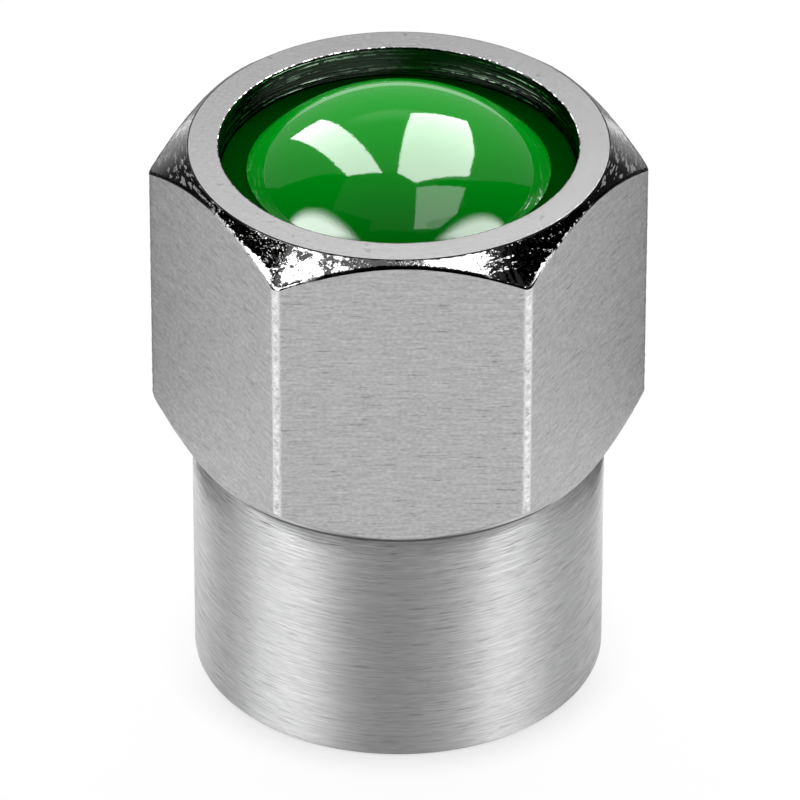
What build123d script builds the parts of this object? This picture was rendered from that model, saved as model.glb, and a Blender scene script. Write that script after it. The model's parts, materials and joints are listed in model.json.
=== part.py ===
from build123d import *

import os
from math import cos, pi, radians, tan

# A tyre valve cap: a metal body with a hexagon head and a round skirt, a green
# domed insert pressed into the top, and a rubber washer at the end of the bore.
# Millimetres. The origin is the centre of the open end, +Z points to the dome.

# Head, turned from hexagon bar
flat_count = 6
across_flats = 11.0
bar_edge_radius = 0.25
head_height = 8.52
top_bevel_angle = 38.5
under_bevel_angle = 43.5

# Skirt, which stands a little inside the flats
skirt_length = 6.75
skirt_step = 0.2
foot_edge_radius = 0.15

# Rim of the head and the pocket inside it
pocket_wall = 0.95
rim_width = 0.77
rim_edge_radius = 0.33
rim_lip_radius = 0.1

# Threaded bore for the valve stem, at the thread's minor radius
thread_minor_radius = 3.45
mouth_bevel = 0.5
web_thickness = 2.0

# Rubber washer and the groove that keeps it at the end of the bore
seal_thickness = 1.5
seal_hole_radius = 1.75
seal_edge_bevel = 0.1
groove_depth = 0.55
groove_play = 0.3
seal_clearance = 0.05

# Domed insert, whose flange lies below the rim
insert_recess = 0.78
flange_thickness = 1.0
flange_ledge = 0.65
flange_edge_radius = 0.12
insert_lead_in = 0.15
insert_clearance = 0.02
dome_height = 1.8
dome_root_radius = 0.12

# Bar that the lathe takes away outside the bevels
turning_allowance = 0.5

# Radii that follow from these
flat_radius = across_flats / 2
corner_radius = flat_radius / cos(pi / flat_count)
blank_radius = corner_radius + turning_allowance
skirt_radius = flat_radius - skirt_step
pocket_radius = flat_radius - pocket_wall
rim_radius = pocket_radius + rim_width
groove_radius = thread_minor_radius + groove_depth
seal_radius = groove_radius - seal_clearance
flange_radius = pocket_radius - insert_clearance
dome_radius = flange_radius - flange_ledge

# Heights that follow from these
rim_z = skirt_length + head_height
under_bevel_end_z = skirt_length + (blank_radius - skirt_radius) * tan(radians(under_bevel_angle))
top_bevel_end_z = rim_z - (blank_radius - rim_radius) * tan(radians(top_bevel_angle))
flange_top_z = rim_z - insert_recess
pocket_floor_z = flange_top_z - flange_thickness
bore_end_z = pocket_floor_z - web_thickness
groove_height = seal_thickness + groove_play

os.makedirs("parts", exist_ok=True)

with BuildPart() as cap_body:
    # Hexagon bar, its drawn edges slightly round, with two corners on the X axis
    with BuildSketch(Plane.XY) as bar_section:
        RegularPolygon(radius=flat_radius, side_count=flat_count, major_radius=False)
        fillet(bar_section.vertices(), radius=bar_edge_radius)
    extrude(amount=rim_z)

    # The turned outline, whose bevels cut the curved edges of the flats
    with BuildSketch(Plane.XZ):
        with BuildLine():
            FilletPolyline(
                (0, 0),
                (skirt_radius, 0),
                (skirt_radius, skirt_length),
                (blank_radius, under_bevel_end_z),
                (blank_radius, top_bevel_end_z),
                (rim_radius, rim_z),
                (0, rim_z),
                radius=[0, foot_edge_radius, 0, 0, 0, rim_edge_radius, 0],
                close=True,
            )
        make_face()
    revolve(axis=Axis.Z, mode=Mode.INTERSECT)

    # Pocket for the insert, with a small round on its lip
    with BuildSketch(Plane.XY.offset(pocket_floor_z)):
        Circle(pocket_radius)
    extrude(amount=rim_z - pocket_floor_z, mode=Mode.SUBTRACT)
    rim_circles = cap_body.edges().filter_by(GeomType.CIRCLE).group_by(Axis.Z)[-1]
    fillet(rim_circles.sort_by(SortBy.RADIUS)[0], radius=rim_lip_radius)

    # Blind bore from the open end, bevelled at its mouth to start the thread
    with Locations(Location((0, 0, 0), (180, 0, 0))):
        CounterSinkHole(
            radius=thread_minor_radius,
            counter_sink_radius=thread_minor_radius + mouth_bevel,
            counter_sink_angle=90,
            depth=bore_end_z,
        )

    # Groove behind the thread, into which the washer snaps
    with BuildSketch(Plane.XY.offset(bore_end_z - groove_height)):
        Circle(groove_radius)
    extrude(amount=groove_height, mode=Mode.SUBTRACT)

with BuildPart() as dome_insert:
    # Half section of the disc and the dome on it
    with BuildSketch(Plane.XZ) as insert_section:
        with BuildLine():
            dome_top = (0, flange_top_z + dome_height)
            dome_arc = TangentArc(dome_top, (dome_radius, flange_top_z), tangent=(1, 0))
            Polyline(
                dome_arc @ 1,
                (flange_radius, flange_top_z),
                (flange_radius, pocket_floor_z),
                (0, pocket_floor_z),
                dome_top,
            )
        make_face()
        # Moulded rounds on the ledge, and a lead-in below to press the insert home
        ledge_corners = insert_section.vertices().group_by(Axis.Y)[1]
        fillet(ledge_corners.sort_by(Axis.X)[0], radius=dome_root_radius)
        wall_corners = insert_section.vertices().group_by(Axis.X)[-1]
        fillet(wall_corners.sort_by(Axis.Y)[-1], radius=flange_edge_radius)
        wall_corners = insert_section.vertices().group_by(Axis.X)[-1]
        chamfer(wall_corners.sort_by(Axis.Y)[0], length=insert_lead_in)
    revolve(axis=Axis.Z)

with BuildPart() as seal_washer:
    with BuildSketch(Plane.XY.offset(bore_end_z - seal_thickness)):
        Circle(seal_radius)
        Circle(seal_hole_radius, mode=Mode.SUBTRACT)
    extrude(amount=seal_thickness)
    chamfer(seal_washer.edges().filter_by(GeomType.CIRCLE), length=seal_edge_bevel)

pieces = {
    "cap_body": cap_body,
    "dome_insert": dome_insert,
    "seal_washer": seal_washer,
}
for label, piece in pieces.items():
    piece.part.label = label
    export_step(piece.part, f"parts/{label}.step")
    size = piece.part.bounding_box().size
    print(f"{label}: {piece.part.volume:.2f} mm3, {size.X:.3f} x {size.Y:.3f} x {size.Z:.3f}")
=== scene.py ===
# %% [markdown]
# # A tyre valve cap with a green dome
# The real cap is three things: a plated metal body with a hexagon head and a round skirt, a green
# plastic dome pressed into the top, and a rubber washer inside at the end of the thread. This lesson
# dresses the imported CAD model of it. Every size below is in metres, in the CAD frame: the origin is the
# centre of the open end, and +Z points to the dome.

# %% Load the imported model
import json
from math import atan2, cos, degrees, pi, radians, sin, sqrt, tan

import bpy
from mathutils import Matrix, Vector

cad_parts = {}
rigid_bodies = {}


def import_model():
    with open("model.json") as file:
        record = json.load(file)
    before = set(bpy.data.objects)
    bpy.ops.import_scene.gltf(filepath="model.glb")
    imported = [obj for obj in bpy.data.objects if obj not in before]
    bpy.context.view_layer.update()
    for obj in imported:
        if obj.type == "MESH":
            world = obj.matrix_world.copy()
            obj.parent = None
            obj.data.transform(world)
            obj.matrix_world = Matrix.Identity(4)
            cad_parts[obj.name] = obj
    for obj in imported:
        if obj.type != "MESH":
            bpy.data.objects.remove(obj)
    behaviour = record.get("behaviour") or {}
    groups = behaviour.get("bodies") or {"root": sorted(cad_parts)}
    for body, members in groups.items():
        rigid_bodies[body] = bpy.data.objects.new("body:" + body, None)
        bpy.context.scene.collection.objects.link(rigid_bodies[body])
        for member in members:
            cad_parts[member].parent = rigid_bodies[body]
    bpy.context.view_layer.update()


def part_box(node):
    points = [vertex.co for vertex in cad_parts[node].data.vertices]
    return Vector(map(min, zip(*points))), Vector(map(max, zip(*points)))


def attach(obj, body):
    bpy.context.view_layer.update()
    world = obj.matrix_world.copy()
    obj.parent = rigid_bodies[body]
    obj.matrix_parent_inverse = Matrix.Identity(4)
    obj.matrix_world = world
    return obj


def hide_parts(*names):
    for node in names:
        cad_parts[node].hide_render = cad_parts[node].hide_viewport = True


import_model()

# %% [markdown]
# ## Sizes
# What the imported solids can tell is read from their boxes, so the looks always fit the frame. The other
# sizes are the drawing's own, repeated here because the boxes don't hold them.

# %% Sizes read from the CAD pieces
mm = 0.001
body_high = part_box("cap_body")[1]
insert_low, insert_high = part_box("dome_insert")
washer_low, washer_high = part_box("seal_washer")

flat_radius = body_high.y
rim_z = body_high.z
pocket_floor_z = insert_low.z
dome_top_z = insert_high.z
flange_radius = insert_high.x
washer_radius = washer_high.x
bore_end_z = washer_high.z
print("across the flats:", round(2 * flat_radius / mm, 3), "mm, rim at", round(rim_z / mm, 3), "mm")

# %% Sizes from the drawing
skirt_radius = flat_radius - 0.2 * mm
neck_z = 6.75 * mm
under_bevel_angle = radians(43.5)
top_bevel_angle = radians(38.5)
foot_round = 0.15 * mm

rim_corner_radius = 5.32 * mm
pocket_radius = 4.55 * mm

thread_crest_radius = 3.45 * mm
thread_root_radius = 3.88 * mm
thread_pitch = 25.4 / 32 * mm
mouth_radius = 3.95 * mm
groove_radius = 4.0 * mm
groove_low_z = bore_end_z - 1.8 * mm

flange_top_z = rim_z - 0.78 * mm
dome_radius = 3.88 * mm
flange_round = 0.12 * mm
flange_lead_in = 0.15 * mm
root_round = 0.12 * mm
washer_hole_radius = 1.75 * mm

# %% Small edges, as the photograph shows them
rim_round = 0.03 * mm
pocket_lip_round = 0.03 * mm
ridge_round = 0.12 * mm
washer_round = 0.12 * mm
print("the flats' edges are worn to", round(ridge_round / mm, 3), "mm")

# %% [markdown]
# ## The camera
# The photograph was taken with a long lens from about 34 degrees above, so the cap's upright edges stay
# almost parallel. A camera could be turned by hand until the picture fits, but its angles would be hard
# to read later. Here it is placed by an azimuth, an elevation and a distance. It looks a little below
# the middle of the cap, and hangs a hair off level.

# %% Directions
def direction(azimuth, elevation):
    """A unit vector from angles in degrees; azimuth 0 is the camera's side and 90 is +X."""
    around = radians(azimuth)
    above = radians(elevation)
    return Vector((sin(around) * cos(above), -cos(around) * cos(above), sin(above)))


# %% Camera
camera_azimuth = -0.9175
camera_elevation = 34.2207
camera_distance = 246.338 * mm
camera_roll = 0.066
middle_z = 7.636 * mm
aim_drop = 0.1815 * mm
aim_right = 0.038 * mm

camera_data = bpy.data.cameras.new("photo_camera")
camera_data.lens = 432
camera_data.sensor_width = 36
camera_data.clip_start = 10 * mm
camera_data.clip_end = 20
camera = bpy.data.objects.new("photo_camera", camera_data)
bpy.context.scene.collection.objects.link(camera)
bpy.context.scene.camera = camera

backwards = direction(camera_azimuth, camera_elevation)
sideways = direction(camera_azimuth + 90, 0)
turned = (-backwards).to_track_quat("-Z", "Y").to_matrix() @ Matrix.Rotation(radians(camera_roll), 3, "Z")
camera.matrix_world = turned.to_4x4()
aim = Vector((0, 0, middle_z - aim_drop)) + sideways * aim_right
camera.location = aim + backwards * camera_distance
print("camera at", [round(x / mm, 1) for x in camera.location], "mm")

# %% [markdown]
# ## Writing formulas in node trees
# Geometry Nodes and materials both hold long sums. Written node by node they fill pages. A Wire is one
# number travelling in a tree, and the signs + - * / on it add the Math nodes, so that a formula below
# reads like one.

# %% Wires and nodes
def feed(tree, socket, value):
    """Links a wire or a socket, or sets a plain value."""
    value = getattr(value, "socket", value)
    if isinstance(value, bpy.types.NodeSocket):
        tree.links.new(value, socket)
    else:
        socket.default_value = value


def place(tree, kind, inputs=None, **options):
    """Adds a node, sets its options and fills its inputs, each given by name or by number."""
    made = tree.nodes.new(kind)
    for option, value in options.items():
        setattr(made, option, value)
    for name, value in (inputs or {}).items():
        feed(tree, made.inputs[name], value)
    return made


class Wire:
    """A number in a node tree, on which sums add Math nodes."""

    def __init__(self, tree, socket):
        self.tree = tree
        self.socket = socket

    def math(self, operation, *others):
        inputs = dict(enumerate((self, *others)))
        made = place(self.tree, "ShaderNodeMath", inputs, operation=operation)
        return Wire(self.tree, made.outputs[0])

    def __add__(self, other):
        return self.math("ADD", other)

    def __sub__(self, other):
        return self.math("SUBTRACT", other)

    def __rsub__(self, other):
        return self.math("MULTIPLY", -1).math("ADD", other)

    def __mul__(self, other):
        return self.math("MULTIPLY", other)

    def __truediv__(self, other):
        return self.math("DIVIDE", other)

    __radd__ = __add__
    __rmul__ = __mul__

    def ramp(self, start, end):
        """0 below start, 1 above end and smooth between; the other way round where start is above end."""
        made = place(
            self.tree,
            "ShaderNodeMapRange",
            {"Value": self, "From Min": start, "From Max": end},
            interpolation_type="SMOOTHSTEP",
        )
        return Wire(self.tree, made.outputs["Result"])


def mixed(first, second, share):
    """The first wire where share is 0, the second where it is 1."""
    return first + (second - first) * share


# %% [markdown]
# ## One lathe for every round piece
# All three pieces are turned or moulded round one axis, so one Geometry Nodes tree makes them. The
# script draws half the section as a string of stations, and the tree sweeps it round a circle. The head
# is the one part that isn't round. A boolean cut of a hexagon with a cone would give its shape, but
# leaves long thin faces that mirrors show. Here a station that follows the hexagon moves in and out
# with the bar's flats as it goes round, and up and down with the bevels, as the cutter of a real lathe
# meets a hexagon bar. The curved edges above and below each flat come from that, and the mesh stays
# even enough to shade cleanly.

# %% Stations of a section
BORE, TURNED, GROUND, POLISHED, RIM, POCKET = range(6)


class Section:
    """Half a section, drawn from station to station."""

    names = ("reach", "height", "follow", "level", "out", "up", "finish", "ridge")

    def __init__(self):
        self.stations = []

    def at(self, radius=0, height=0, finish=0, follow=0, level=0, out=0, up=0, ridge=0):
        """A station on the plain section, or on the head: follow says how far, and level at which edge."""
        self.stations.append((radius, height, follow, level, out, up, finish, ridge))

    def arc(self, radius, height, size, start, end, steps, finish):
        """Stations on an arc about a centre, with its angles in degrees from the outward direction."""
        for step in range(steps + 1):
            angle = radians(start + (end - start) * step / steps)
            self.at(radius + size * cos(angle), height + size * sin(angle), finish)

    def ridge(self, level, offsets, finishes):
        """Stations round an edge of the flats, which wears."""
        for (out, up), finish in zip(offsets, finishes):
            self.at(0, 0, finish, 1, level, out, up, ridge=1)

    def bevel(self, radius, height, finish, level, offset, shares):
        """Stations on a bevel, as shares of the way from a plain corner to the end of the rounded edge."""
        for share in shares:
            self.at(radius, height, finish, share, level, *offset, ridge=share)


def ridge_offsets(level, size, start, end, count):
    """How far the stations of a rounded edge lie from its own corner, outwards and upwards."""
    turn = abs(radians(end - start))
    centre_up = size * tan(turn / 2) * (1 if level == 0 else -1)
    offsets = []
    for step in range(count):
        angle = radians(start + (end - start) * step / (count - 1))
        offsets.append((size * (cos(angle) - 1), centre_up + size * sin(angle)))
    return offsets


# %% [markdown]
# The tree keeps the real cutting angles as inputs. Columns spread evenly round would leave the bar's
# corners coarse, so they are gathered: more of them go where the hexagon turns, and fewer where it is
# flat. Noise wears the edges a little.

# %% The lathe tree
def new_tree(name, sizes):
    """An empty tree with a geometry input and one named input for each size."""
    tree = bpy.data.node_groups.new(name, "GeometryNodeTree")
    tree.is_modifier = True
    tree.interface.new_socket("Geometry", in_out="INPUT", socket_type="NodeSocketGeometry")
    tree.interface.new_socket("Geometry", in_out="OUTPUT", socket_type="NodeSocketGeometry")
    for size, value in sizes.items():
        kind = "NodeSocketInt" if isinstance(value, int) else "NodeSocketFloat"
        tree.interface.new_socket(size, in_out="INPUT", socket_type=kind)
    return tree


def named(tree, attribute):
    made = place(tree, "GeometryNodeInputNamedAttribute", {"Name": attribute}, data_type="FLOAT")
    return Wire(tree, made.outputs["Attribute"])


def stored(tree, geometry, attribute, value):
    inputs = {"Geometry": geometry, "Name": attribute, "Value": value}
    made = place(tree, "GeometryNodeStoreNamedAttribute", inputs, data_type="FLOAT", domain="POINT")
    return made.outputs["Geometry"]


def moved_to(tree, geometry, radius, angle, height):
    """Puts each point at a radius, an angle round the axis and a height."""
    across = radius * angle.math("COSINE")
    deep = radius * angle.math("SINE")
    point = place(tree, "ShaderNodeCombineXYZ", {"X": across, "Y": deep, "Z": height})
    inputs = {"Geometry": geometry, "Position": point.outputs[0]}
    return place(tree, "GeometryNodeSetPosition", inputs).outputs["Geometry"]


def noise_at(tree, vector, waves):
    """Noise from -1 to 1, about; waves are how many a metre goes through."""
    inputs = {"Vector": vector, "Scale": waves, "Detail": 1.0}
    made = place(tree, "ShaderNodeTexNoise", inputs)
    return (Wire(tree, made.outputs[0]) - 0.5) * 3


def finish_tree(tree, geometry, materials):
    """Smooth shading, plain geometry and a material for each finish, which ends every tree here."""
    smooth = place(tree, "GeometryNodeSetShadeSmooth", {"Geometry": geometry})
    geometry = place(tree, "GeometryNodeRealizeInstances", {"Geometry": smooth.outputs[0]}).outputs[0]
    finish = named(tree, "finish")
    for number, material in materials.items():
        chosen = finish.math("COMPARE", number, 0.5)
        inputs = {"Geometry": geometry, "Selection": chosen, "Material": material}
        geometry = place(tree, "GeometryNodeSetMaterial", inputs).outputs[0]
    place(tree, "NodeGroupOutput", {"Geometry": geometry})


corner_wear_waves = 5000
corner_wear_share = 0.3
edge_wear_waves = 7000
merge_distance = 1e-7

lathe_sizes = {
    "Columns": 480,
    "Gathering": 0.16,
    "Flat radius": flat_radius,
    "Corner round": 0.27 * mm,
    "Skirt radius": skirt_radius,
    "Neck height": neck_z,
    "Under bevel slope": tan(under_bevel_angle),
    "Rim corner radius": rim_corner_radius,
    "Rim height": rim_z,
    "Top bevel slope": tan(top_bevel_angle),
    "Edge wear": 0.009 * mm,
}


def lathe_tree(name, materials):
    tree = new_tree(name, lathe_sizes)
    group = tree.nodes.new("NodeGroupInput")
    size = {socket.name: Wire(tree, socket) for socket in group.outputs if socket.name}

    # The section, swept round a circle whose points know how far round they are
    section = place(tree, "GeometryNodeMeshToCurve", {"Mesh": size["Geometry"]})
    inputs = {"Resolution": size["Columns"], "Radius": 0.01}
    circle = place(tree, "GeometryNodeCurvePrimitiveCircle", inputs)
    index = Wire(tree, place(tree, "GeometryNodeInputIndex").outputs[0])
    path = stored(tree, circle.outputs["Curve"], "turn", index / size["Columns"] * 6)
    swept = place(tree, "GeometryNodeCurveToMesh", {"Curve": path, "Profile Curve": section.outputs[0]})

    # The way round as a whole number of corners and a signed rest, gathered towards the corner
    turn = named(tree, "turn")
    rest = (turn + 0.5).math("FRACT") - 0.5
    corner = turn - rest
    gathered = rest * mixed(size["Gathering"], 1, rest * rest * 4)
    sixth = pi / 3
    angle = (corner + gathered) * sixth
    beside = gathered * sixth

    # The bar's own radius there, with its drawn corner a little round and worn
    half = pi / 6
    one_flat = size["Flat radius"] / (beside - half).math("COSINE")
    other_flat = size["Flat radius"] / (beside + half).math("COSINE")
    height_now = mixed(size["Neck height"], size["Rim height"], named(tree, "level"))
    lines = place(tree, "ShaderNodeCombineXYZ", {"X": corner * 0.01, "Z": height_now})
    corner_wear = noise_at(tree, lines.outputs[0], corner_wear_waves)
    corner_round = size["Corner round"] * (1 + corner_wear * corner_wear_share)
    bar_radius = one_flat.math("SMOOTH_MIN", other_flat, corner_round)

    # Where the two bevels meet the bar there
    low_edge = size["Neck height"] + (bar_radius - size["Skirt radius"]) * size["Under bevel slope"]
    high_edge = size["Rim height"] - (bar_radius - size["Rim corner radius"]) * size["Top bevel slope"]
    ridge_spot = place(tree, "ShaderNodeCombineXYZ", {
        "X": bar_radius * angle.math("COSINE"),
        "Y": bar_radius * angle.math("SINE"),
        "Z": named(tree, "level"),
    })
    edge_wear = noise_at(tree, ridge_spot.outputs[0], edge_wear_waves) * size["Edge wear"]
    ridge_wear = edge_wear * named(tree, "ridge")
    head_radius = bar_radius + named(tree, "out") - ridge_wear
    head_height = mixed(low_edge, high_edge, named(tree, "level")) + named(tree, "up")

    # A station stands on the plain section, on the head, or between them
    follow = named(tree, "follow")
    radius = mixed(named(tree, "reach"), head_radius, follow)
    height = mixed(named(tree, "height"), head_height, follow)
    geometry = moved_to(tree, swept.outputs[0], radius, angle, height)

    # What the finishes ask for: how far a point is from the bar's corner and from its flat's upper edge
    out = radius - bar_radius
    up = height - high_edge
    geometry = stored(tree, geometry, "corner_gap", beside.math("ABSOLUTE") * size["Flat radius"])
    geometry = stored(tree, geometry, "top_gap", (out * out + up * up).math("SQRT"))
    merged = place(tree, "GeometryNodeMergeByDistance", {"Geometry": geometry, "Distance": merge_distance})
    finish_tree(tree, merged.outputs[0], materials)
    return tree


# %% From a section to a finished mesh
def add_tree(piece, tree, sizes):
    """Puts a tree on a piece as a modifier, its inputs set by the sockets' identifiers."""
    modifier = piece.modifiers.new(tree.name, "NODES")
    modifier.node_group = tree
    for item in tree.interface.items_tree:
        if item.in_out == "INPUT" and item.name in sizes:
            modifier[item.identifier] = sizes[item.name]


def settled(piece):
    """Makes the result a plain mesh and takes the modifiers off."""
    depsgraph = bpy.context.evaluated_depsgraph_get()
    result = piece.evaluated_get(depsgraph)
    mesh = bpy.data.meshes.new_from_object(result, preserve_all_data_layers=True, depsgraph=depsgraph)
    piece.modifiers.clear()
    piece.data = mesh
    mesh.name = piece.name
    triangles = sum(len(face.vertices) - 2 for face in mesh.polygons)
    print(piece.name, len(mesh.vertices), "points,", triangles, "triangles")
    return piece


def section_piece(name, section):
    """A piece that holds a section's stations as points joined by edges."""
    mesh = bpy.data.meshes.new(name)
    count = len(section.stations)
    points = [(number * mm, 0, 0) for number in range(count)]
    edges = [(number, number + 1) for number in range(count - 1)]
    mesh.from_pydata(points, edges, [])
    for number, attribute in enumerate(Section.names):
        layer = mesh.attributes.new(attribute, "FLOAT", "POINT")
        layer.data.foreach_set("value", [station[number] for station in section.stations])
    piece = bpy.data.objects.new(name, mesh)
    bpy.context.scene.collection.objects.link(piece)
    return piece


# %% [markdown]
# ## Finishes
# Plated brass looks different wherever a different tool touched it, so each surface gets the finish of
# its own tool. Pictures of metal could be laid on the faces, but they blur close up and have to be
# unwrapped. Here a finish is noise in a shader: stretched along the tool's path it gives grooves, and
# left even it gives specks. It stands on Object coordinates in millimetres, so nothing slides.

# %% Parts of a material
skirt_tone = 0.70
flat_tone = 0.48
bevel_tone = 0.62
torn_tone = 0.75
rim_tone = 0.74
# The pocket's nearly black tone is painted shade
pocket_shade_tone = 0.035
bore_tone = 0.50


def new_material(name):
    material = bpy.data.materials.new(name)
    material.use_nodes = True
    material.node_tree.nodes.clear()
    return material


def object_point(tree):
    """Object coordinates in millimetres, as three wires."""
    coordinates = place(tree, "ShaderNodeTexCoord").outputs["Object"]
    inputs = {0: coordinates, 1: (1000, 1000, 1000)}
    scaled = place(tree, "ShaderNodeVectorMath", inputs, operation="MULTIPLY").outputs[0]
    split = place(tree, "ShaderNodeSeparateXYZ", {0: scaled})
    return [Wire(tree, socket) for socket in split.outputs]


def from_axis(x, y):
    return (x * x + y * y).math("SQRT")


def grain(tree, x, y, z, waves, detail=3.0, roughness=0.5):
    """Noise from 0 to 1 of a point; waves are how many a millimetre goes through each way."""
    inputs = {"X": x * waves[0], "Y": y * waves[1], "Z": z * waves[2]}
    point = place(tree, "ShaderNodeCombineXYZ", inputs).outputs[0]
    inputs = {"Vector": point, "Scale": 1.0, "Detail": detail, "Roughness": roughness}
    return Wire(tree, place(tree, "ShaderNodeTexNoise", inputs).outputs[0])


def attribute(tree, name):
    made = place(tree, "ShaderNodeAttribute", attribute_name=name)
    return Wire(tree, made.outputs["Fac"])


def grey(tree, value):
    made = place(tree, "ShaderNodeCombineColor", {"Red": value, "Green": value, "Blue": value})
    return made.outputs[0]


def bumped(tree, height, depth):
    """A normal from a height in waves of about one, depth being the real height in metres."""
    inputs = {"Height": height, "Strength": 1.0, "Distance": depth}
    return place(tree, "ShaderNodeBump", inputs).outputs["Normal"]


def metal(tree, tone, roughness, normal, scatter="MULTI_GGX", **extra):
    """The metal shader on its output, in a grey of the given tone."""
    inputs = {
        "Base Color": grey(tree, tone),
        "Metallic": 1.0,
        "Roughness": roughness,
        "Normal": normal,
        **extra,
    }
    shader = place(tree, "ShaderNodeBsdfPrincipled", inputs, distribution=scatter)
    place(tree, "ShaderNodeOutputMaterial", {"Surface": shader.outputs[0]})


# %% [markdown]
# ### The turned skirt
# The lathe leaves fine grooves all the way round, and they draw every highlight out into an upright
# stripe. Real grooves are too fine for a mesh or for bump alone, so an anisotropic shader, its tangent
# running round the axis, stretches the light, and noise with many waves upwards and few across draws
# the coarser ones. The grooves shade one another at low angles. A shader that scatters only once loses
# that light too, so this one does.

# %% Turned metal
dark_edges = (0.05, 0.05, 0.05, 1)


def turned_metal():
    material = new_material("plated_turned")
    tree = material.node_tree
    x, y, z = object_point(tree)
    lines = grain(tree, x, y, z, (0.3, 0.3, 26), 3.0, 0.75)
    dashes = grain(tree, x, y, z, (1.9, 1.9, 30), 2.0, 0.6)
    scratch = grain(tree, x, y, z, (1.3, 1.3, 18), 2.0, 0.5).ramp(0.60, 0.70)
    normal = bumped(tree, lines + dashes * 0.6, 0.0025 * mm)

    # The marks are stronger near the neck, and shade is painted dark into the neck's crease and along the
    # foot's edge
    neck = neck_z / mm
    strength = 1 + z.ramp(neck - 1.55, neck) * 0.7
    lightness = 1 + ((lines - 0.5) * 0.8 + (dashes - 0.5) * 0.8) * strength - scratch * strength * 0.26
    painted_crease_shade = z.ramp(neck - 0.05, neck) * z.ramp(neck + 0.25, neck + 0.15)
    foot = z.ramp(0.10, 0.02)
    tone = lightness * skirt_tone * (1 - painted_crease_shade * 0.75) * (1 - foot * 0.4)

    extra = {
        "Tangent": place(tree, "ShaderNodeTangent", direction_type="RADIAL", axis="Z").outputs[0],
        "Anisotropic": 0.92,
        "Anisotropic Rotation": 0.25,
        "Specular Tint": dark_edges,
    }
    metal(tree, tone, 0.62 + (dashes - 0.5) * 0.2, normal, "GGX", **extra)
    return material


# %% [markdown]
# ### The brushed flats
# The flats come from the drawn bar and were brushed level, which leaves short dashes and a soft sheen.
# The bar's corners are rubbed bright in a ragged chain. They are found by an attribute that the lathe
# tree stores, the distance from the corner, which holds however wide the flats are.

# %% Brushed metal
bright_edges = (0.95, 0.95, 0.95, 1)


def ground_metal():
    material = new_material("plated_brushed")
    tree = material.node_tree
    x, y, z = object_point(tree)
    lines = grain(tree, x, y, z, (1.6, 1.6, 15), 3.0, 0.6)
    speck = grain(tree, x, y, z, (8, 8, 14), 2.0, 0.6)
    scratch = grain(tree, x, y, z, (1.5, 1.5, 17), 2.0, 0.5).ramp(0.61, 0.71)
    lightness = 1 + (lines - 0.5) * 0.6 + (speck - 0.5) * 0.8 - scratch * 0.28
    normal = bumped(tree, lines * 0.7 + speck * 0.6, 0.003 * mm)

    chain = grain(tree, x, y, z, (5, 5, 7), 2.0, 0.6)
    corner = (attribute(tree, "corner_gap") / mm + (chain - 0.5) * 0.16).ramp(0.13, 0.07)
    bright = 0.72 + (chain - 0.5) * 1.1
    tone = mixed(lightness * flat_tone, bright, corner)
    roughness = mixed(0.40 + (speck - 0.5) * 0.15, 0.22, corner)
    metal(tree, tone, roughness, normal, **{"Specular Tint": bright_edges})
    return material


# %% [markdown]
# ### The polished bevels
# A sharp tool left the bevels as bright as mirrors, with a few waves that bend what they reflect. Where
# it came off an edge it tore the metal. Each mark is a mask from 0 to 1 with a rule of its own, because
# one noise for all would spread them evenly, and they aren't: specks in front, one scuffed spot, a burr
# beside every other flat, dark lines in the chatter marks towards the sides, and painted shade as dark
# lines where the bevel meets the rim and along the flats' rounded edges.

# %% Noise and places on the bevels
worn_spot = (-2.1, -5.2)


def bevel_noise(tree, x, y, z):
    """The noises that the marks on the bevels share; ripples follow the cutter's way round."""
    return {
        "wave": grain(tree, x, y, z, (2.2, 2.2, 2.2), 2.0),
        "torn": grain(tree, x, y, z, (5.5, 5.5, 5.5), 3.0, 0.6),
        "crack": grain(tree, x, y, z, (3.0, 3.0, 3.0), 3.0, 0.7),
        "fine": grain(tree, x, y, z, (26, 26, 26), 2.0, 0.6),
        "ragged": grain(tree, x, y, z, (9, 9, 9), 2.0, 0.6),
        "ripple": grain(tree, x, y, from_axis(x, y), (2.6, 2.6, 14), 2.0, 0.6),
    }


def in_front(y):
    return y.ramp(-1.2, -2.8)


def alternation(x, y):
    """The sine of three times the angle round: below 0 on every other flat, above 0 on the rest."""
    sine = y / from_axis(x, y)
    return (3 - sine * sine * 4) * sine


# %% Torn metal on the bevels
def torn_marks(noise, x, y):
    """Specks in front where the tool tore the metal, and one spot that it scuffed all over."""
    spot_x = x - worn_spot[0]
    spot_y = y - worn_spot[1]
    from_spot = (spot_x * spot_x * 0.6 + spot_y * spot_y).math("SQRT")
    scuffed = (from_spot + (noise["torn"] - 0.5) * 0.9).ramp(0.72, 0.58)
    scuffed = scuffed * noise["crack"].ramp(0.44, 0.48) * noise["fine"].ramp(0.36, 0.42)
    specks = noise["fine"].ramp(0.58, 0.66) * (noise["torn"] + noise["wave"] * 0.3).ramp(0.52, 0.70)
    return scuffed.math("MAXIMUM", specks * in_front(y))


def burr_mark(tree, noise, x, y):
    """A ragged burr beside every other flat, widest at the bar's corners."""
    top_gap = attribute(tree, "top_gap") / mm
    near_corner = (attribute(tree, "corner_gap") / mm).ramp(1.5, 0.2)
    width = (0.04 + near_corner * 0.18) * (0.8 - x * 0.08)
    burr = ((top_gap + (noise["ragged"] - 0.5) * 0.24) / width).ramp(1.15, 0.85)
    return burr * alternation(x, y).ramp(0.0, -0.3) * noise["fine"].ramp(0.36, 0.44) * in_front(y)


# %% Dark marks on the bevels
def rim_edge_shade_mark(noise, x, y):
    """Painted shade: a dark line where the bevel meets the rim."""
    from_rim = from_axis(x, y) - rim_corner_radius / mm
    return (from_rim + (noise["ragged"] - 0.5) * 0.08).ramp(0.045, 0.02)


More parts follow.
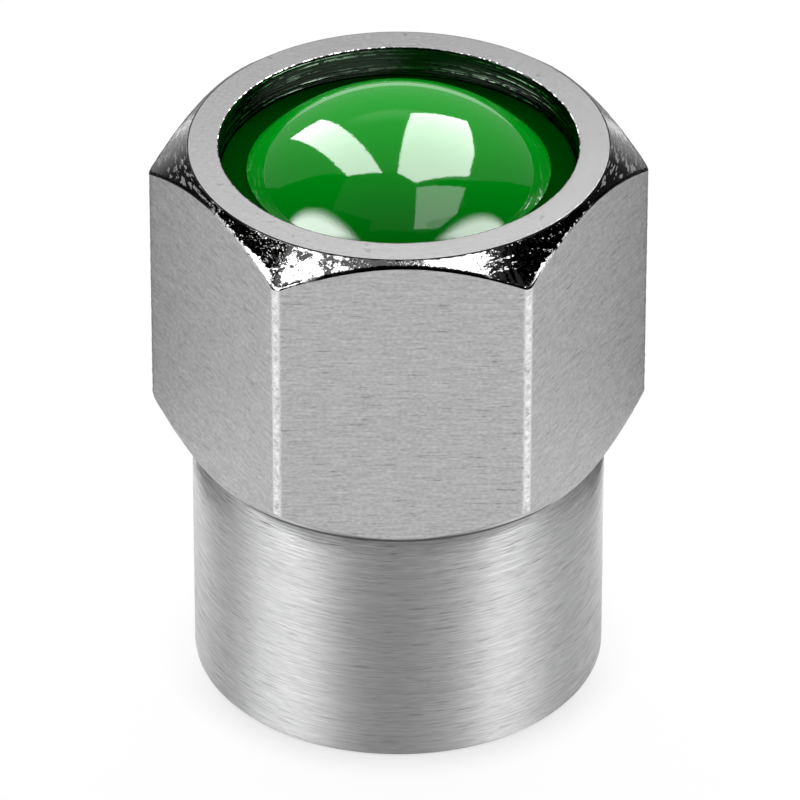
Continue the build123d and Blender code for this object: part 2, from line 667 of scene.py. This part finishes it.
def dark_ripples_mark(noise, x, y):
    """Dark lines in the chatter marks towards the sides."""
    beside = (x + 0.6).math("ABSOLUTE") + (noise["torn"] - 0.5) * 1.4 + (noise["fine"] - 0.5) * 1.8
    thicker = x * y.ramp(-1.0, -2.6) * 0.014 + 0.02
    return (noise["ripple"] + thicker).ramp(0.44, 0.48) * beside.ramp(2.5, 2.8) * y.ramp(0.8, -0.9)


def painted_edge_shade(tree, noise, x, y):
    """Painted shade: a dark line along the rounded edge of the other flats, and of every flat away from the
    front.
    """
    top_gap = attribute(tree, "top_gap") / mm
    shaded = alternation(x, y).ramp(0.2, 0.5).math("MAXIMUM", y.ramp(-3.2, -2.6))
    return ((top_gap + (noise["ragged"] - 0.5) * 0.14) / 0.09).ramp(1.15, 0.85) * shaded


# %% Polished metal
def polished_metal():
    material = new_material("plated_polished")
    tree = material.node_tree
    x, y, z = object_point(tree)
    noise = bevel_noise(tree, x, y, z)
    waves = noise["wave"] * 0.30 + noise["torn"].ramp(0.58, 0.70) * 0.12
    waves = waves + noise["crack"].ramp(0.47, 0.53) * 0.05 + noise["fine"] * 0.05
    normal = bumped(tree, waves + noise["ripple"] * (1 - in_front(y)) * 0.35, 0.012 * mm)

    burr = burr_mark(tree, noise, x, y)
    rough = torn_marks(noise, x, y).math("MAXIMUM", burr)
    # The dark lines where the bevel meets the rim and along the flats' edges are painted shade
    rim_edge_shade = rim_edge_shade_mark(noise, x, y)
    dark_ripples = dark_ripples_mark(noise, x, y) * (1 - burr)
    dark = rim_edge_shade.math("MAXIMUM", dark_ripples).math("MAXIMUM", painted_edge_shade(tree, noise, x, y))
    tone = mixed(bevel_tone + (noise["torn"] - 0.5) * 0.1, torn_tone, rough) * (1 - dark * 0.99)
    roughness = mixed(0.04, 0.5, rough.math("MAXIMUM", rim_edge_shade))
    metal(tree, tone, roughness, normal)
    return material


# %% [markdown]
# ### The satin rim, the pocket and the bore
# The rim was faced with a fine feed, so it is even and only slightly dull, with rings too faint to
# count. Its rounded lip is darker in spots. The pocket's wall is nearly black, which is painted shade,
# with bright streaks round it that are brighter towards the sides as painted highlight, and the bore,
# which only the stem sees, is plain chattered metal. They differ in tone and in which way the noise is
# stretched.

# %% Satin metal
def rim_metal():
    material = new_material("plated_satin")
    tree = material.node_tree
    x, y, z = object_point(tree)
    out = from_axis(x, y)
    rings = grain(tree, x, y, out, (0.4, 0.4, 16), 3.0, 0.6)
    speck = grain(tree, x, y, z, (8, 8, 8), 2.0)
    pit = grain(tree, x, y, z, (3, 3, 3), 2.0).ramp(0.66, 0.72)
    normal = bumped(tree, rings * 0.5 + speck * 0.5, 0.0006 * mm)
    lightness = 1 + (rings - 0.5) * 0.10 + (speck - 0.5) * 0.18 - pit * 0.18

    # The lip is darker in spots
    dark_lip_spots = grain(tree, x, y, z, (7, 7, 7), 2.0, 0.6).ramp(0.44, 0.50)
    dark_lip_spots = dark_lip_spots * (out - pocket_radius / mm).ramp(0.036, 0.028)
    tone = lightness * rim_tone * (1 - dark_lip_spots * 0.96)
    metal(tree, tone, 0.10 + (speck - 0.5) * 0.04, normal)
    return material


# %% Pocket wall and bore
def pocket_metal():
    material = new_material("plated_pocket")
    tree = material.node_tree
    x, y, z = object_point(tree)
    streak = grain(tree, x, y, z, (0.3, 0.3, 13), 3.0, 0.6)
    chatter = grain(tree, x, y, z, (5, 5, 8), 3.0, 0.6)
    normal = bumped(tree, streak * 0.9 + chatter * 0.35, 0.012 * mm)

    # The nearly black tone is painted shade, the streaks are brighter towards the sides as painted
    # highlight, and dark spots break up the lip
    painted_highlight_at_sides = x.math("ABSOLUTE").ramp(0.8, 2.6)
    dark_lip_spots = chatter.ramp(0.44, 0.50) * (z - rim_z / mm).ramp(-0.06, -0.04)
    tone = pocket_shade_tone + streak.ramp(0.54, 0.62) * chatter.ramp(0.42, 0.50) * (0.12 + painted_highlight_at_sides * 0.8)
    metal(tree, tone * (1 - dark_lip_spots * 0.9), 0.08 + (chatter - 0.5) * 0.05, normal)
    return material


def bore_metal():
    material = new_material("plated_bore")
    tree = material.node_tree
    x, y, z = object_point(tree)
    chatter = grain(tree, x, y, z, (1.5, 1.5, 5), 3.0, 0.6)
    speck = grain(tree, x, y, z, (10, 10, 10), 2.0)
    normal = bumped(tree, chatter * 0.7 + speck * 0.4, 0.01 * mm)
    metal(tree, bore_tone + (chatter - 0.5) * 0.15, 0.3 + (speck - 0.5) * 0.15, normal)
    return material


# %% [markdown]
# ### Green plastic and black rubber
# The dome is glossy plastic that is clouded a little by its moulding. Its ledge lies in the shade of
# the rim and is matt, so it is the same plastic without shine, and its darker green is painted shade.
# Seeing into the plastic would need scattering below the surface, which takes long to render and hardly
# shows in so deep a green. The rubber is dull and pitted.

# %% Plastic
def green_plastic(name, green, shine, roughness):
    """The button's plastic, with its shine as the specular level."""
    material = new_material(name)
    tree = material.node_tree
    x, y, z = object_point(tree)
    cloud = grain(tree, x, y, z, (0.35, 0.35, 0.35), 2.0)
    speck = grain(tree, x, y, z, (14, 14, 14), 2.0)
    shade = 1 + (cloud - 0.5) * 0.12 + (speck - 0.5) * 0.06
    inputs = {"Red": 0.0, "Green": shade * green, "Blue": shade * (green * 0.03)}
    shader = place(tree, "ShaderNodeBsdfPrincipled", {
        "Base Color": place(tree, "ShaderNodeCombineColor", inputs).outputs[0],
        "Roughness": roughness + speck * 0.02,
        "IOR": 1.5,
        "Specular IOR Level": shine,
        "Normal": bumped(tree, cloud * 0.6 + speck * 0.05, 0.01 * mm),
    })
    place(tree, "ShaderNodeOutputMaterial", {"Surface": shader.outputs[0]})
    return material


# %% Rubber
def black_rubber():
    material = new_material("black_rubber")
    tree = material.node_tree
    x, y, z = object_point(tree)
    pits = grain(tree, x, y, z, (6, 6, 6), 4.0, 0.65)
    bloom = grain(tree, x, y, z, (0.8, 0.8, 0.8), 3.0)
    shader = place(tree, "ShaderNodeBsdfPrincipled", {
        "Base Color": grey(tree, 0.022 + bloom * 0.016 + pits * 0.006),
        "Roughness": 0.6 + (pits - 0.5) * 0.3,
        "Normal": bumped(tree, pits, 0.03 * mm),
    })
    place(tree, "ShaderNodeOutputMaterial", {"Surface": shader.outputs[0]})
    return material


# %% [markdown]
# ## The metal body
# On the real cap this is one piece of brass bar: bored and threaded from below, turned to a skirt,
# bevelled above and below the flats, and bored shallow for the dome. Its faces could be modelled one by
# one, but one closed section can't leave a gap between them. It is drawn here in the order a finger
# would follow it, from the end of the bore, out through the mouth, up the outside, over the rim and
# into the pocket.

# %% Body section, from the bore to the neck
flat_steps = 56
guard = 0.02 * mm
neck_band = 0.3 * mm
section = Section()

section.at(0, bore_end_z, BORE)
section.at(groove_radius, bore_end_z, BORE)
section.at(groove_radius, groove_low_z, BORE)
section.at(thread_root_radius, groove_low_z, BORE)
section.at(thread_root_radius, mouth_radius - thread_root_radius, BORE)
section.at(mouth_radius, 0, BORE)

# A guard is a station close beside a round, which keeps the shading of the flat face next to it flat
section.at(mouth_radius + guard, 0, TURNED)
section.arc(skirt_radius - foot_round, foot_round, foot_round, -90, 0, 6, TURNED)
section.at(skirt_radius, 0.5 * mm, TURNED)
section.at(skirt_radius, neck_z - neck_band, TURNED)
section.at(skirt_radius, neck_z - guard, TURNED)
section.at(skirt_radius, neck_z, TURNED)
print("stations up to the neck:", len(section.stations))

# %% Body section, over the flats
rim_turn = 90 - degrees(top_bevel_angle)
low_edge = ridge_offsets(0, ridge_round, degrees(under_bevel_angle) - 90, 0, 4)
high_edge = ridge_offsets(1, ridge_round, 0, rim_turn, 6)
section.bevel(skirt_radius, neck_z, TURNED, 0, low_edge[0], (0.1, 0.5, 0.8))
section.ridge(0, low_edge, [GROUND] * 4)
for step in range(1, flat_steps):
    section.at(follow=1, level=step / flat_steps, finish=GROUND)
section.ridge(1, high_edge, [GROUND] * 2 + [POLISHED] * 4)
print("stations up to the bevel:", len(section.stations))

# %% Body section, from the bevel into the pocket
rim_flat_radius = rim_corner_radius - rim_round * tan(top_bevel_angle / 2)
bevel_in_radius = rim_corner_radius + rim_round * tan(top_bevel_angle / 2) * cos(top_bevel_angle)
bevel_in_z = rim_z - rim_round * (1 - cos(top_bevel_angle))
bevel_shares = (0.95, 0.85, 0.7, 0.55, 0.4, 0.25, 0.1)
section.bevel(bevel_in_radius, bevel_in_z, POLISHED, 1, high_edge[-1], bevel_shares)
section.arc(rim_flat_radius, rim_z - rim_round, rim_round, rim_turn, 90, 4, POLISHED)

lip_radius = pocket_radius + pocket_lip_round
lip_z = rim_z - pocket_lip_round
section.at(rim_flat_radius - guard, rim_z, RIM)
section.at(lip_radius + guard, rim_z, RIM)
section.arc(lip_radius, lip_z, pocket_lip_round, 90, 126, 2, RIM)
section.arc(lip_radius, lip_z, pocket_lip_round, 144, 180, 2, POCKET)
section.at(pocket_radius, rim_z - 1.3 * pocket_lip_round, POCKET)
section.at(pocket_radius, pocket_floor_z, POCKET)
section.at(0, pocket_floor_z, POCKET)
print("body section has", len(section.stations), "stations")

# %% Sweep the body
body_materials = {
    BORE: bore_metal(),
    TURNED: turned_metal(),
    GROUND: ground_metal(),
    POLISHED: polished_metal(),
    RIM: rim_metal(),
    POCKET: pocket_metal(),
}
print("finishes of the body:", [material.name for material in body_materials.values()])
body = section_piece("plated_body", section)
add_tree(body, lathe_tree("turn_on_lathe", body_materials), lathe_sizes)

# %% [markdown]
# ## The thread
# The bore takes a valve stem's fine thread, 32 turns to the inch. A tap leaves one long ridge that
# winds up the wall. Rings one above another would look much the same, but a thread that doesn't climb
# is no thread. So a second tree on the body sweeps a ridge's section up a helix, tapers its ends to
# nothing as a real thread runs out, and joins it to the wall.

# %% Sizes of the thread
thread_start_z = 0.55 * mm
thread_end_room = 0.2 * mm
ridge_foot_share = 0.47
sunk_in_wall = 0.02 * mm

thread_sizes = {
    "Pitch": thread_pitch,
    "Crest radius": thread_crest_radius,
    "Root radius": thread_root_radius,
    "Start height": thread_start_z,
    "Turns": (groove_low_z - thread_start_z - thread_end_room) / thread_pitch,
    "Steps a turn": 72,
    "Crest width": 0.12 * mm,
}
print("the thread winds", round(thread_sizes["Turns"], 2), "times round")


# %% Cut the thread
def thread_tree():
    tree = new_tree("cut_thread", thread_sizes)
    group = tree.nodes.new("NodeGroupInput")
    size = {socket.name: Wire(tree, socket) for socket in group.outputs if socket.name}

    # The way up the helix, in turns, and the ridge's section as a share of its depth and of its width
    steps = size["Turns"] * size["Steps a turn"]
    line = place(tree, "GeometryNodeMeshLine", {"Count": steps, "Offset": (0, 0, mm)})
    index = Wire(tree, place(tree, "GeometryNodeInputIndex").outputs[0])
    counted = stored(tree, line.outputs[0], "turn", index / size["Steps a turn"])
    path = place(tree, "GeometryNodeMeshToCurve", {"Mesh": counted})
    ring = place(tree, "GeometryNodeCurvePrimitiveQuadrilateral", {"Width": 1.0, "Height": 1.0})
    corner = Wire(tree, place(tree, "GeometryNodeInputIndex").outputs[0])
    sided = stored(tree, ring.outputs[0], "side", (corner - 0.5).math("SIGN") * (2.5 - corner).math("SIGN"))
    deep = stored(tree, sided, "depth", (corner - 1.5).math("GREATER_THAN", 0))
    inputs = {"Curve": path.outputs[0], "Profile Curve": deep, "Fill Caps": True}
    swept = place(tree, "GeometryNodeCurveToMesh", inputs)

    # The ridge grows from nothing over its first half turn and runs out over its last
    turn = named(tree, "turn")
    grown = turn.ramp(0, 0.5) * (size["Turns"] - turn).ramp(0, 0.5)
    depth = named(tree, "depth") * grown
    radius = mixed(size["Root radius"] + sunk_in_wall, size["Crest radius"], depth)
    half_width = mixed(size["Pitch"] * ridge_foot_share, size["Crest width"] * 0.5, named(tree, "depth"))
    height = size["Start height"] + turn * size["Pitch"] + named(tree, "side") * half_width
    ridge = moved_to(tree, swept.outputs[0], radius, turn * (2 * pi), height)
    ridge = stored(tree, ridge, "finish", turn * 0)

    joined = place(tree, "GeometryNodeJoinGeometry")
    tree.links.new(ridge, joined.inputs[0])
    tree.links.new(size["Geometry"].socket, joined.inputs[0])
    finish_tree(tree, joined.outputs[0], {BORE: body_materials[BORE]})
    return tree


add_tree(body, thread_tree(), thread_sizes)
settled(body)

# %% [markdown]
# ## The green dome
# A moulded button: a disc that fills the pocket's floor and a dome that rises above the rim. A
# flattened ball on a disc would come near it, but the mould's small rounds, where the dome meets the
# ledge and along the ledge's edge, are what catch the light. So the same lathe makes it, with every
# station on the plain section.

# %% Dome section and sweep
dome_height = dome_top_z - flange_top_z
ball_radius = (dome_radius**2 + dome_height**2) / (2 * dome_height)
ball_z = dome_top_z - ball_radius
dome_steps = 40
plain_sizes = lathe_sizes | {"Columns": 240, "Gathering": 1.0}

LEDGE, GLOSSY = range(2)
# The ledge's darker green is painted shade
dome_materials = {
    LEDGE: green_plastic("green_plastic_matt_painted_shade", 0.032, 0.0, 0.40),
    GLOSSY: green_plastic("green_plastic", 0.24, 0.5, 0.03),
}
insert_section = Section()
insert_section.at(0, pocket_floor_z, LEDGE)
insert_section.at(flange_radius - flange_lead_in, pocket_floor_z, LEDGE)
insert_section.at(flange_radius, pocket_floor_z + flange_lead_in, LEDGE)
insert_section.arc(flange_radius - flange_round, flange_top_z - flange_round, flange_round, 0, 90, 5, LEDGE)

# The root's round touches the ledge and the ball, and meets the ball at the angle of its own centre
root_z = flange_top_z + root_round
root_radius = sqrt((ball_radius + root_round) ** 2 - (root_z - ball_z) ** 2)
meeting = degrees(atan2(root_z - ball_z, root_radius))
insert_section.at(root_radius + guard, flange_top_z, LEDGE)
insert_section.arc(root_radius, root_z, root_round, 270, 180 + meeting, 5, LEDGE)
insert_section.arc(0, ball_z, ball_radius, meeting + 0.4, 90, dome_steps, GLOSSY)
print("the dome meets its ledge", round(root_radius / mm, 3), "mm from the axis")

dome = section_piece("green_dome", insert_section)
add_tree(dome, lathe_tree("mould_dome", dome_materials), plain_sizes)
settled(dome)

# %% [markdown]
# ## The washer
# A flat ring of black rubber, punched from sheet, which seals on the tip of the valve stem. A torus
# would be too round for it, so its section is a square with softly rounded corners, swept by the same
# lathe. It is hidden at the end of the bore and needs fewer columns.

# %% Washer section and sweep
RUBBER = 0
washer_low_z = washer_low.z
washer_high_z = washer_high.z
inside = washer_hole_radius + washer_round
outside = washer_radius - washer_round

washer_section = Section()
washer_section.arc(inside, washer_low_z + washer_round, washer_round, 180, 270, 5, RUBBER)
washer_section.arc(outside, washer_low_z + washer_round, washer_round, 270, 360, 5, RUBBER)
washer_section.arc(outside, washer_high_z - washer_round, washer_round, 0, 90, 5, RUBBER)
washer_section.arc(inside, washer_high_z - washer_round, washer_round, 90, 180, 5, RUBBER)
washer_section.at(washer_hole_radius, washer_low_z + washer_round, RUBBER)

washer = section_piece("rubber_washer", washer_section)
add_tree(washer, lathe_tree("punch_washer", {RUBBER: black_rubber()}), plain_sizes | {"Columns": 144})
settled(washer)

# %% [markdown]
# ## The studio
# Mirrors only look like metal when there is a room to reflect, and the photograph's room can be read in
# the dome: two long softboxes overhead behind the cap, two soft lamps at its sides, a small dim panel
# overhead in front, a pale backdrop with a lighter band behind, and black cloth round the front. The
# bevels also mirror two dim lamps low in front, and a grey card that stands close behind the cap. A
# picture of a studio round the scene would be quicker to make, but its lamps couldn't be moved one by
# one. So each is a panel that only mirrors see, and three plain lamps light the plastic, the rubber and
# the floor.

# %% Stage helpers
dome_centre = Vector((0, 0, flange_top_z))


def emission(name, strength, soft=False):
    """Light that a panel gives; a soft one fades towards its edge."""
    material = new_material(name)
    tree = material.node_tree
    power = strength
    if soft:
        spot = place(tree, "ShaderNodeUVMap", uv_map="panel").outputs[0]
        split = place(tree, "ShaderNodeSeparateXYZ", {0: spot})
        u = Wire(tree, split.outputs[0]) * 2 - 1
        v = Wire(tree, split.outputs[1]) * 2 - 1
        far = u * u + v.math("ABSOLUTE") * 0.9
        power = far.ramp(1.0, 0.25) * strength
    shader = place(tree, "ShaderNodeEmission", {"Color": (1, 1, 1, 1), "Strength": power})
    place(tree, "ShaderNodeOutputMaterial", {"Surface": shader.outputs[0]})
    return material


def staged(name, points, faces, material, uvs=None):
    """A piece of the stage that nothing but mirrors sees."""
    mesh = bpy.data.meshes.new(name)
    mesh.from_pydata(points, [], faces)
    if uvs:
        layer = mesh.uv_layers.new(name="panel")
        for loop in mesh.loops:
            layer.data[loop.index].uv = uvs[loop.vertex_index]
    mesh.materials.append(material)
    panel = bpy.data.objects.new(name, mesh)
    bpy.context.scene.collection.objects.link(panel)
    panel.visible_camera = False
    panel.visible_diffuse = False
    panel.visible_shadow = False
    print(name, "has", len(faces), "faces")
    return panel


# %% Shapes of panels
def overhead(name, corners, strength, soft=False, height=0.2):
    """A level panel above the cap, its corners given per metre of its height."""
    points = [dome_centre + Vector((x, y, 1)) * height for x, y in corners]
    uvs = ((0, 0), (1, 0), (1, 1), (0, 1)) if soft else None
    return staged(name, points, [tuple(range(len(points)))], emission(name, strength, soft), uvs)


def slanted(centre, along, across):
    """Four corners of a slanted panel about a centre, from half its length and half its width."""
    signs = ((-1, -1), (1, -1), (1, 1), (-1, 1))
    return [tuple(c + a * i + b * j for c, a, b in zip(centre, along, across)) for i, j in signs]


def patch(name, rows, distance, material, steps=32):
    """Part of a big ball round the cap; each row is an elevation and the azimuths of its two ends."""
    points, faces, uvs = [], [], []
    for elevation, start, end in rows:
        for step in range(steps + 1):
            azimuth = start + (end - start) * step / steps
            points.append(dome_centre + direction(azimuth, elevation) * distance)
            uvs.append((azimuth / 360, elevation / 90))
    for row in range(len(rows) - 1):
        for step in range(steps):
            corner = row * (steps + 1) + step
            faces.append((corner, corner + 1, corner + steps + 2, corner + steps + 1))
    return staged(name, points, faces, material, uvs)


# %% Softboxes, lamps and the dim panels overhead
window_light = 13
panel_light = 3.4
left_lamp_light = 18
right_lamp_light = 14
ceiling_light = 0.18

left_window = [(-1.98, 3.23), (-1.07, 2.59), (-0.14, 0.11), (-0.47, 0.17)]
right_window = [(0.14, 1.36), (0.84, 1.85), (0.77, 0.72), (0.69, 0.26), (0.15, -0.01), (-0.01, 0.10)]
panel = [(0.16, -0.55), (0.16, -0.06), (0.67, 0.09), (0.62, -0.28), (0.45, -0.52)]
left_lamp = slanted((-1.13, -0.29), (0.68, -0.41), (0.165, 0.262))
right_lamp = slanted((1.08, -0.38), (0.68, 0.32), (-0.115, 0.245))
ceiling = [
    (-0.72, -0.17),
    (-0.52, -0.32),
    (-0.34, -0.56),
    (0.36, -0.60),
    (0.72, -0.1),
    (0.1, 0.1),
    (-0.5, 0.14),
]

overhead("window_left", left_window, window_light)
overhead("window_right", right_window, window_light)
overhead("panel_right", panel, panel_light)
overhead("lamp_left", left_lamp, left_lamp_light, soft=True)
overhead("lamp_right", right_lamp, right_lamp_light, soft=True)
overhead("ceiling_front", ceiling, ceiling_light, height=0.22)

# %% Black cloth and the low lamps in front of it
cloth_rows = [
    (-1, -140, 138),
    (5, -135, 132),
    (12, -129, 127),
    (19, -123, 122),
    (26, -118.5, 119),
    (36, -117, 115),
    (46, -116.5, 110.5),
    (54, -116, 107.5),
    (62, -113.5, 105.5),
    (72, -111, 100),
    (82, -108, 96),
    (90, -105, 95),
]
patch("cloth_front", cloth_rows, 0.9, emission("black_cloth", 0.0))
for name, start, end, strength in (("lamp_low_left", -56, -38, 4), ("lamp_low_right", 44, 60, 5)):
    patch(name, [(12, start, end), (30, start, end)], 0.88, emission(name, strength), 8)

# %% Backdrop
backdrop_light = 0.38
band_light = 0.50


def backdrop_material():
    """Pale grey paper, lighter in a soft band in the middle, some 35 degrees above the cap."""
    material = new_material("pale_backdrop")
    tree = material.node_tree
    spot = place(tree, "ShaderNodeUVMap", uv_map="panel").outputs[0]
    split = place(tree, "ShaderNodeSeparateXYZ", {0: spot})
    azimuth = Wire(tree, split.outputs[0]) * 360
    elevation = Wire(tree, split.outputs[1]) * 90
    band = elevation.ramp(30.8, 34.8) * elevation.ramp(46, 35)
    middle = azimuth.ramp(155, 172) * azimuth.ramp(205, 188)
    strength = backdrop_light + band * middle * band_light
    shader = place(tree, "ShaderNodeEmission", {"Strength": strength})
    place(tree, "ShaderNodeOutputMaterial", {"Surface": shader.outputs[0]})
    return material


backdrop_rows = [(elevation, 110, 250) for elevation in range(-1, 90, 3)]
patch("backdrop", backdrop_rows, 0.95, backdrop_material())

# %% Grey card
card_light = 0.30
card_distance = 15 * mm
card_top = 14 * mm


def upright(name, start, end, distance, top, material, steps=12):
    """A card that stands on the floor round the cap, from one azimuth to another."""
    points, faces = [], []
    for step in range(steps + 1):
        foot = direction(start + (end - start) * step / steps, 0) * distance
        points += [foot, foot + Vector((0, 0, top))]
    for step in range(steps):
        faces.append((2 * step, 2 * step + 1, 2 * step + 3, 2 * step + 2))
    return staged(name, points, faces, material)


upright("card_behind", 102, 258, card_distance, card_top, emission("grey_card", card_light))

# %% Floor
floor_reach = 0.8
floor_white = 1.0
contact_reach = 1.1 * mm


def seen_or_mirrored(tree):
    """1 for rays from the camera, from mirrors and through glass, and 0 for light that falls on things."""
    path = place(tree, "ShaderNodeLightPath")
    seen = Wire(tree, path.outputs["Is Camera Ray"])
    for kind in ("Is Glossy Ray", "Is Transmission Ray"):
        seen = seen.math("MAXIMUM", path.outputs[kind])
    return seen


def floor_material():
    """White to the eye and to mirrors, with a painted soft shadow where the cap stands, stronger in front.
    """
    material = new_material("studio_floor")
    tree = material.node_tree
    seen = seen_or_mirrored(tree)
    contact = place(tree, "ShaderNodeAmbientOcclusion", {"Distance": contact_reach}, samples=16)
    open_sky = Wire(tree, contact.outputs["AO"])
    x, y, z = object_point(tree)
    cloud = grain(tree, x, y, z, (0.02, 0.02, 0.02), 2.0)
    # The shadow is painted into the white from ambient occlusion, and stronger in front
    shadow = 0.06 + y.ramp(0, -3.5) * 0.26
    white = place(tree, "ShaderNodeEmission", {
        "Color": (1, 1, 1, 1),
        "Strength": (1 - shadow * (1 - open_sky)) * (floor_white + (cloud - 0.5) * 0.01),
    })
    board = place(tree, "ShaderNodeBsdfDiffuse", {"Color": (0.8, 0.8, 0.8, 1)})
    share = place(tree, "ShaderNodeMixShader", {0: seen * 0.96, 1: board.outputs[0], 2: white.outputs[0]})
    place(tree, "ShaderNodeOutputMaterial", {"Surface": share.outputs[0]})
    return material


floor_mesh = bpy.data.meshes.new("studio_floor")
floor_corners = [(x * floor_reach, y * floor_reach, 0) for x, y in ((-1, -1), (1, -1), (1, 1), (-1, 1))]
floor_mesh.from_pydata(floor_corners, [], [(0, 1, 2, 3)])
floor_mesh.materials.append(floor_material())
floor = bpy.data.objects.new("studio_floor", floor_mesh)
bpy.context.scene.collection.objects.link(floor)
print("floor is", 2 * floor_reach, "m wide")

# %% World
world_light = 0.22
world_white = 0.985

world = bpy.data.worlds.new("studio")
world.use_nodes = True
world_tree = world.node_tree
world_tree.nodes.clear()
strength = mixed(world_light, world_white, seen_or_mirrored(world_tree))
background = place(world_tree, "ShaderNodeBackground", {"Strength": strength})
place(world_tree, "ShaderNodeOutputWorld", {"Surface": background.outputs[0]})
bpy.context.scene.world = world


# %% Plain lamps
def lamp(name, azimuth, elevation, power, distance=0.4, size=0.25):
    """A square soft lamp that mirrors don't see."""
    light = bpy.data.lights.new(name, "AREA")
    light.size = size
    light.energy = power
    made = bpy.data.objects.new(name, light)
    bpy.context.scene.collection.objects.link(made)
    away = direction(azimuth, elevation)
    made.location = dome_centre + away * distance
    made.rotation_mode = "QUATERNION"
    made.rotation_quaternion = away.to_track_quat("Z", "Y")
    made.visible_glossy = False
    print(name, "gives", power, "W")


lamp("key_left", -150, 40, 1.5)
lamp("key_right", 150, 40, 1.5)
lamp("key_above", 0, 80, 0.45)

# %% [markdown]
# ## Joining the looks to the frame
# Nothing on the cap moves, so every piece rides on the one body of the frame. The solids could wear the
# materials themselves, but they have too few faces for mirrors and no thread. So each finer mesh stands
# for its CAD solid, which stays behind it for collision.

# %% Ride and replace
for piece, node, slot in (
    (body, "cap_body", "plated_metal"),
    (dome, "dome_insert", "green_plastic"),
    (washer, "seal_washer", "black_rubber"),
):
    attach(piece, "root")
    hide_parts(node)

bpy.context.scene.view_settings.view_transform = "Standard"
